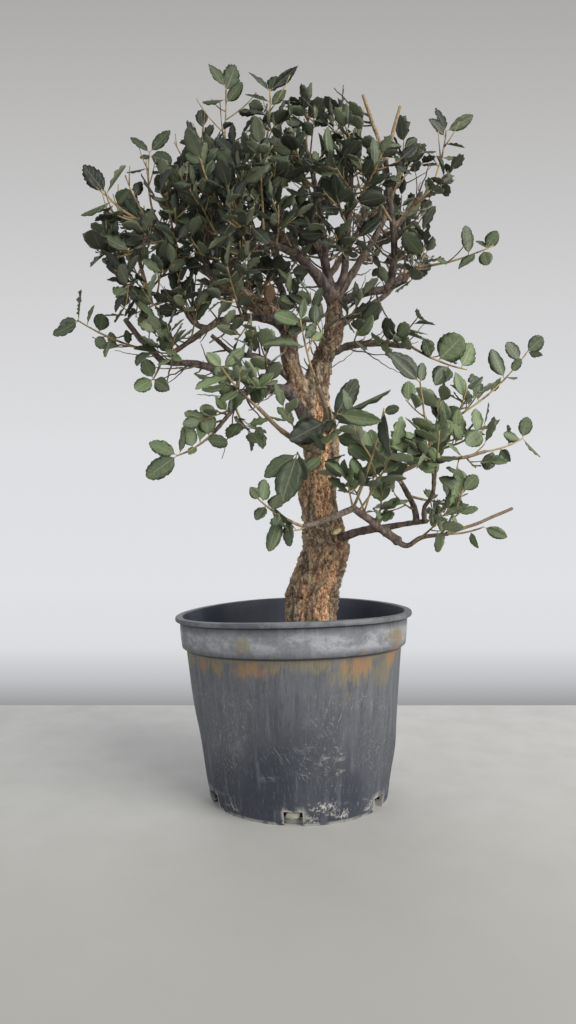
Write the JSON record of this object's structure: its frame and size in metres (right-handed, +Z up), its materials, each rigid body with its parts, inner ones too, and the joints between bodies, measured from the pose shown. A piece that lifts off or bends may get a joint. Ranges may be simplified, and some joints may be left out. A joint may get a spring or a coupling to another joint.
{
  "type": "cork oak bonsai",
  "caption": "Small bonsai tree with a cork-barked trunk, spreading twiggy crown and oval evergreen leaves, planted in a round plastic nursery pot.",
  "frame": {"origin": "centre of the pot's underside, on the surface that the pot stands on", "axes": "+Z up along the pot's axis, -Y towards the side shown in the picture, +X to the right seen from there"},
  "size_m": [0.4528, 0.319, 0.6908],
  "materials": {
    "pot": "weathered blue-grey moulded plastic with pale scuffs and ochre stains",
    "soil": "dark crumbly potting mix",
    "bark": "deeply furrowed cork bark on the trunk, smooth grey-brown bark on the branches",
    "foliage": "waxy dark green leaves with pale ribs, on tan young twigs"
  },
  "bodies": {
    "root": {"pot": "pot", "soil": "soil", "tree_wood": "bark", "spray_01": "foliage", "spray_02": "foliage", "spray_03": "foliage", "spray_04": "foliage", "spray_05": "foliage", "spray_06": "foliage", "spray_07": "foliage", "spray_08": "foliage", "spray_09": "foliage", "spray_10": "foliage", "spray_11": "foliage", "spray_12": "foliage", "spray_13": "foliage", "spray_14": "foliage", "spray_15": "foliage", "spray_16": "foliage", "spray_17": "foliage", "spray_18": "foliage", "spray_19": "foliage", "spray_20": "foliage", "spray_21": "foliage", "spray_22": "foliage", "spray_23": "foliage", "spray_24": "foliage", "spray_25": "foliage", "spray_26": "foliage", "spray_27": "foliage", "spray_28": "foliage", "spray_29": "foliage", "spray_30": "foliage", "spray_31": "foliage", "spray_32": "foliage", "spray_33": "foliage", "spray_34": "foliage", "spray_35": "foliage", "spray_36": "foliage", "spray_37": "foliage", "spray_38": "foliage", "spray_39": "foliage", "spray_40": "foliage", "spray_41": "foliage", "spray_42": "foliage", "spray_43": "foliage", "spray_44": "foliage", "spray_45": "foliage", "spray_46": "foliage", "spray_47": "foliage", "spray_48": "foliage", "spray_49": "foliage", "spray_50": "foliage", "spray_51": "foliage", "spray_52": "foliage", "spray_53": "foliage", "spray_54": "foliage", "spray_55": "foliage", "spray_56": "foliage"}
  },
  "joints": []
}
